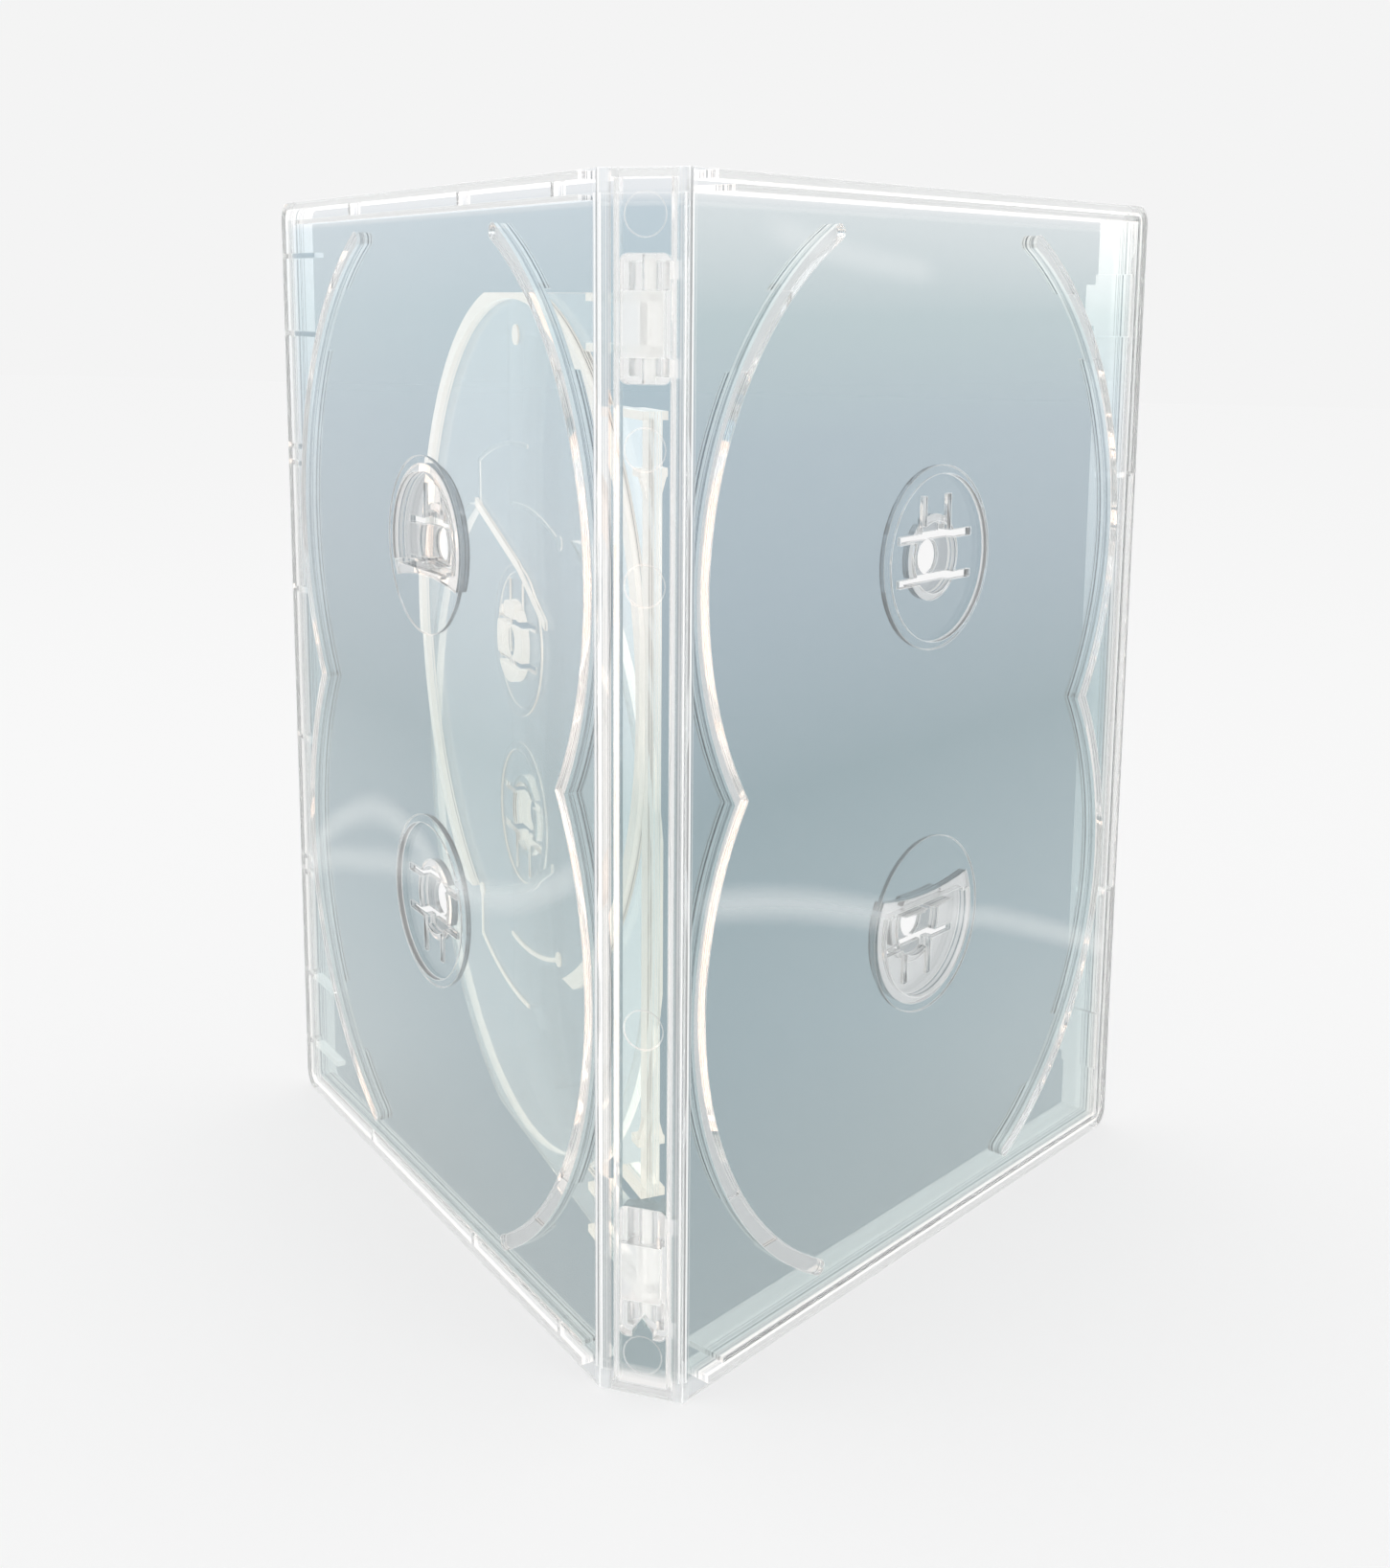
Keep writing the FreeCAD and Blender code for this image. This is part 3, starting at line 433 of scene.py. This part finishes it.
# %% [markdown]
# ## Clear plastic
# One recipe serves the covers, the spine, the tray and the ribs.  It finds out which kind of face
# this is, and from that sets the tint with its painted reflection, the milky white that is a
# painted highlight for light reflected inside, and the own light.  The light seen from within the
# plastic is weaker and neutral, and the light seen from outside is a little warm, which makes up
# for the cool tint of the wall in front; on the tray the body colour turns warm with it.

# %% The clear plastic finish
PLASTIC_IOR = 1.45
NO_BOUNCE = 0.5   # Diffuse Depth is a whole number, and 0 before the first scattering


def clear_plastic(name, place_of, levels, tones, fold_zone=None, pleats=(), white=WHITE, thick_milky_highlight=0.42,
                  gather=0.07, edge=0.75, edge_glow=0.16, behind_glow=COVER_GLOW, within=0.12,
                  warm=WARM, tray=False):
    """Clear plastic, by each face's depth.  Flat faces carry the tint with its painted reflection,
    plain ones are clear, soft ones carry half of it, and the others are made cloudy white, a
    painted highlight for light reflected inside.  Edges are painted whiter still, as highlights,
    and behind_glow lights what is only seen through another wall, less from within."""
    finish, tree, shader = new_finish(name)
    across, depth, height = place_of(tree)
    toned, plain, soft = (at_depths(tree, depth, some) for some in levels)
    thick = less(tree, 1.0, most(tree, toned, plain, soft))
    edges = near_edges(tree)
    fold = fold_zone(tree, across) if fold_zone else 0.0
    faces = (toned, plain, soft, thick, edges, fold)

    shape = tree.nodes.new("ShaderNodeNewGeometry").outputs
    path = tree.nodes.new("ShaderNodeLightPath").outputs
    straight = maths(tree, "LESS_THAN", path["Diffuse Depth"], NO_BOUNCE)
    through = times(tree, path["Is Transmission Ray"], straight)
    from_middle = maths(tree, "ABSOLUTE", less(tree, height, CASE_TOP / 2))
    lift = most(tree, thick, edges)
    strength = by_reach(tree, across, from_middle, behind_glow)
    outer = less(tree, 1.0, shape["Backfacing"])
    warmth = times(tree, through, outer)
    if tray:
        lift, share, arms = tray_light(tree, across, height, from_middle, lift)
        strength = times(tree, strength, share)
        warmth = times(tree, warmth, less(tree, 1.0, arms))
    strength = times(tree, strength, blend_value(tree, shape["Backfacing"], 1.0, within))
    behind = times(tree, lift, strength, through)
    light = maths(tree, "ADD", own_light(tree, faces, shape, gather, edge_glow), behind)

    light_colour = blend_colour(tree, warmth, white, warm)
    body_colour = light_colour if tray else white
    colour = blend_colour(tree, tint_and_reflection_share(tree, across, faces, pleats), body_colour,
                          by_height(tree, height, tones))
    tree.links.new(colour, shader.inputs["Base Color"])
    tree.links.new(less(tree, 1.0, milky_highlight(tree, faces, thick_milky_highlight, edge)),
                   shader.inputs["Transmission Weight"])
    tree.links.new(light_colour, shader.inputs["Emission Color"])
    tree.links.new(light, shader.inputs["Emission Strength"])
    shader.inputs["Roughness"].default_value = 0.0
    shader.inputs["IOR"].default_value = PLASTIC_IOR
    finish.cycles.emission_sampling = "NONE"
    print(name, "has", len(tree.nodes), "nodes")
    return finish


# %% [markdown]
# ## Finishes of the mouldings
# Each part gives the depths of its own flat faces.  The right cover, the left cover and the
# spine share the sheet's colours, and the tray is plainer and a little creamier.  The thin
# ribs have no flat sheet, so they give no depths.

# %% Covers, spine and tray
# Depths in mm behind the outer face: flat faces that carry the tint and painted reflection, plain
# faces and soft faces
COVER_LEVELS = ((1.2, 2.0, 2.2), (0.0, 1.0, 2.4), (3.6, 4.4, 3.4, 3.5, 2.7, 4.9, 4.1))
SPINE_LEVELS = ((1.2, 1.4), (0.0,), ())
TRAY_LEVELS = ((0.5, 0.9, 0.1), (), ())
# Distances in mm from the fold, or from the spine's middle, of the pleats, drawn as painted shade
# lines
COVER_PLEATS = (0.6, 1.1)
SPINE_PLEATS = (5.5, 5.95, 6.35)

finishes = {
    "right_cover": clear_plastic("clear_right", place_on_right, COVER_LEVELS, SHEET_TINT_AND_REFLECTION,
                                 near_fold, COVER_PLEATS),
    "left_cover": clear_plastic("clear_left", place_on_left, COVER_LEVELS, LEFT_TINT_AND_REFLECTION,
                                near_fold, COVER_PLEATS),
    "spine": clear_plastic("clear_spine", place_on_spine, SPINE_LEVELS, LEFT_TINT_AND_REFLECTION,
                           beside_fold, SPINE_PLEATS, edge_glow=0.22, behind_glow=0.36,
                           within=0.3),
    "flip_tray": clear_plastic("clear_tray", place_on_tray, TRAY_LEVELS, TRAY_TINTS,
                               white=CREAM, thick_milky_highlight=0.6, gather=0.1, behind_glow=1.7, within=0.28,
                               warm=WARMER, tray=True),
}
clear_ribs = clear_plastic("clear_ribs", place_on_spine, ((), (), ()), SHEET_TINT_AND_REFLECTION, thick_milky_highlight=0.5,
                           gather=0.1, behind_glow=1.1)

# %% [markdown]
# ## Rim ribs
# Short ribs run from each cover's guides to its rim.  They are fine trim, so they are made
# here and not in the solids: a cube is scaled to a thin plate, bevelled, and turned into the
# cover's own place.  The left cover's matrix also mirrors them, which turns a mesh inside
# out, so the normals are recalculated.

# %% Ribs between the guides and the rims
GUIDE_OUTSIDE = 63.3 * MM
GUIDE_TURN = math.radians(61)   # where a guide's arc ends, up from level with its hub
RIB_WALL, RIB_ROUND, RIB_FOOT, RIB_LONGEST = 1.0 * MM, 0.12 * MM, 1.3 * MM, 13 * MM
RIGHT_TURN = Matrix.Translation((HINGE_X, HINGE_Y, 0)) @ Matrix.Rotation(RIGHT_OPEN, 4, "Z")
LEFT_TURN = (Matrix.Translation((-HINGE_X, HINGE_Y, 0)) @ Matrix.Rotation(LEFT_OPEN, 4, "Z")
             @ Matrix.Diagonal((1, -1, 1, 1)))


def guide_side(from_middle):
    """How far across a cover the outside of its guide is, at a height from the middle."""
    up = min(from_middle - HUB_FROM_MIDDLE, GUIDE_OUTSIDE * math.sin(GUIDE_TURN))
    return HUB_REACH + math.sqrt(GUIDE_OUTSIDE ** 2 - up ** 2)


def rim_ribs(name, body, turn, heights, rim_side, top):
    """Thin bevelled plates from the guide, or near it, to the rim, on both sides of the middle."""
    bm = bmesh.new()
    for from_middle in heights:
        start = max(guide_side(from_middle), rim_side - RIB_LONGEST)
        for side in (-1, 1):
            verts = bmesh.ops.create_cube(bm, size=1.0)["verts"]
            bmesh.ops.scale(bm, verts=verts, vec=(rim_side - start, top - RIB_FOOT, RIB_WALL))
            bmesh.ops.translate(bm, verts=verts, vec=((start + rim_side) / 2, (RIB_FOOT + top) / 2,
                                                      CASE_TOP / 2 + side * from_middle))
    bmesh.ops.bevel(bm, geom=bm.edges[:], offset=RIB_ROUND, offset_type="OFFSET", segments=2,
                    profile=0.5, affect="EDGES", material=-1)
    bm.transform(turn)
    bmesh.ops.recalc_face_normals(bm, faces=bm.faces[:])
    mesh = bpy.data.meshes.new(name)
    bm.to_mesh(mesh)
    bm.free()
    mesh.materials.append(clear_ribs)
    piece = bpy.data.objects.new(name, mesh)
    bpy.context.scene.collection.objects.link(piece)
    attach(piece, body)
    print(name, "has", 2 * len(heights), "ribs")


rim_ribs("left_rim_ribs", "left_cover", LEFT_TURN, [mm * MM for mm in (16, 42.5, 46, 69, 84.5)],
         130.6 * MM, 3.2 * MM)
rim_ribs("right_rim_ribs", "right_cover", RIGHT_TURN, [43 * MM], 132.0 * MM, 6.3 * MM)

# %% [markdown]
# ## The film sleeve
# A thin film is welded round the outside.  It is nearly invisible, but its cut edges and welds
# catch the light, painted here as bright lines, and where it isn't quite flat it reflects soft
# bright bands, which are painted reflections.  Each band is a shallow arc drawn in the film's own
# plane, from the position along it and the height.  A slow noise makes its line waver.  All of the
# film's lengths are in mm.

# %% One painted reflection band
FILM_TOP = 190
BAND_FADE = 9.0
WAVER_SCALE, WAVER = 11.0, 2.6
# start and end along the cover, height and curve of the arc, its slope, half width and strength
RIGHT_REFLECTION_BANDS = (
    (0, 62, 81.5, -0.0006, -0.27, 4.4, 0.27), (66, 138, 62.5, -0.0008, -0.33, 3.6, 0.22),
    (14, 64, 183.0, 0.0, -0.09, 3.5, 0.15),
)
LEFT_REFLECTION_BANDS = (
    (56, 132, 69.4, -0.0109, 0.567, 4.6, 0.2), (44, 132, 70.5, -0.003, 0.036, 4.4, 0.18),
    (2, 58, 86.2, 0.008, -0.72, 4.2, 0.18),
)


def one_reflection_band(tree, across, height, band, waver):
    """How strongly one painted reflection band shows here."""
    start, end, top, curve, slope, half_width, strength = band
    run = less(tree, across, start)
    arc = maths(tree, "MULTIPLY_ADD", times(tree, run, run), curve, top)
    middle = maths(tree, "ADD", maths(tree, "MULTIPLY_ADD", run, slope, arc), waver)
    off = maths(tree, "ABSOLUTE", less(tree, height, middle))
    level = scaled(tree, off, 0.0, half_width, strength, 0.0, interpolation_type="SMOOTHSTEP")
    for edge, side in ((start, 1), (end, -1)):
        inside = times(tree, less(tree, across, edge), side)
        level = times(tree, level, scaled(tree, inside, 0.0, BAND_FADE,
                                          interpolation_type="SMOOTHSTEP"))
    return level


print(len(RIGHT_REFLECTION_BANDS) + len(LEFT_REFLECTION_BANDS), "bands")

# %% [markdown]
# The film's alpha holds all of this: almost nothing in the open, a little in the bands and welds,
# and most at the cut edges.  All of it is painted: the bands are painted reflections on the outer
# face, so they don't show on the faces that look inwards, and the bright lines are painted
# highlights on the film's real cut edges and welds.  The film also carries a faint painted glow of
# its own.

# %% The film's finish
FILM_MIDDLE, FILM_ALPHA = 0.2, 0.02
# Bright lines at the film's real edges, welds and cuts, as painted highlights.
FILM_EDGE, FILM_WELD = 3.5, 1.6
LINE_HALF, EDGE_STRENGTH, WELD_STRENGTH = 0.3, 0.12, 0.08
CUT_HALF, CUT_STRENGTH = 0.22, 0.75
COVER_CUTS, SPINE_CUTS = (0.4, 130.5), (-6.6, 6.6)
# A faint painted glow on the whole film.
FILM_LIGHT = 0.15


def film_finish(name, place_of, bands, cuts):
    """A thin clear film with painted highlights on its cut edges and welds, painted reflection
    bands, and a faint painted glow.
    """
    finish, tree, shader = new_finish(name)
    across, depth, height = (times(tree, value, 1 / MM) for value in place_of(tree))
    inward = tree.nodes.new("ShaderNodeNewGeometry").outputs["Backfacing"]
    outside = times(tree, maths(tree, "LESS_THAN", depth, -FILM_MIDDLE), less(tree, 1.0, inward))
    here = tree.nodes.new("ShaderNodeTexCoord")
    drift = node(tree, "ShaderNodeTexNoise", {"Vector": here.outputs["Object"],
                                              "Scale": WAVER_SCALE, "Detail": 0.0}).outputs[0]
    waver = scaled(tree, drift, 0.3, 0.7, -WAVER, WAVER)
    shine = FILM_ALPHA
    for band in bands:
        level = one_reflection_band(tree, across, height, band, waver)
        shine = maths(tree, "ADD", shine, times(tree, level, outside))
    for inset, strength in ((FILM_EDGE, EDGE_STRENGTH), (FILM_EDGE + FILM_WELD, WELD_STRENGTH)):
        for level in (inset, FILM_TOP - inset):
            line = maths(tree, "COMPARE", height, level, LINE_HALF)
            shine = most(tree, shine, times(tree, line, strength))
    for cut in cuts:
        line = maths(tree, "COMPARE", across, cut, CUT_HALF)
        shine = most(tree, shine, times(tree, line, CUT_STRENGTH))
    tree.links.new(shine, shader.inputs["Alpha"])
    shader.inputs["Base Color"].default_value = (*WHITE, 1)
    shader.inputs["Roughness"].default_value = 0.15
    shader.inputs["Emission Color"].default_value = (*WHITE, 1)
    shader.inputs["Emission Strength"].default_value = FILM_LIGHT
    finish.cycles.emission_sampling = "NONE"
    return finish


finishes["sleeve_right"] = film_finish("film_right", place_on_right, RIGHT_REFLECTION_BANDS, COVER_CUTS)
finishes["sleeve_left"] = film_finish("film_left", place_on_left, LEFT_REFLECTION_BANDS, COVER_CUTS)
finishes["sleeve_spine"] = film_finish("film_spine", place_on_spine, (), SPINE_CUTS)
print("finishes:", ", ".join(sorted(finishes)))

# %% [markdown]
# ## Put the finishes on
# Every solid gets its own finish.  The film throws no shadow, because a film this clear would
# only make the render grainy.

# %% Finishes on the solids
for name, piece in nodes.items():
    piece.data.materials.clear()
    piece.data.materials.append(finishes[name])
    piece.visible_shadow = not name.startswith("sleeve")
    print(name, "wears", finishes[name].name)

# %% [markdown]
# ## Light
# Broad soft lamps stand above and to each side, as round a product table.  They are weak,
# because the pale world gives most of the light.

# %% Lamps
LAMPS = {
    "above": ((-0.2, 0.1, 1.1), 0.9, 1.0),
    "left": ((-1.0, -0.5, 0.5), 0.7, 1.2),
    "right": ((1.1, -0.3, 0.6), 0.7, 1.2),
}
AIM = Vector((0, 0.03, 0.1))
for name, (place, size, power) in LAMPS.items():
    lamp_data = bpy.data.lights.new(f"lamp_{name}", "AREA")
    lamp_data.energy = power
    lamp_data.size = size
    lamp = bpy.data.objects.new(f"lamp_{name}", lamp_data)
    lamp.location = place
    lamp.rotation_euler = (AIM - lamp.location).to_track_quat("-Z", "Y").to_euler()
    bpy.context.scene.collection.objects.link(lamp)
    print("lamp", name, "of", power, "W")
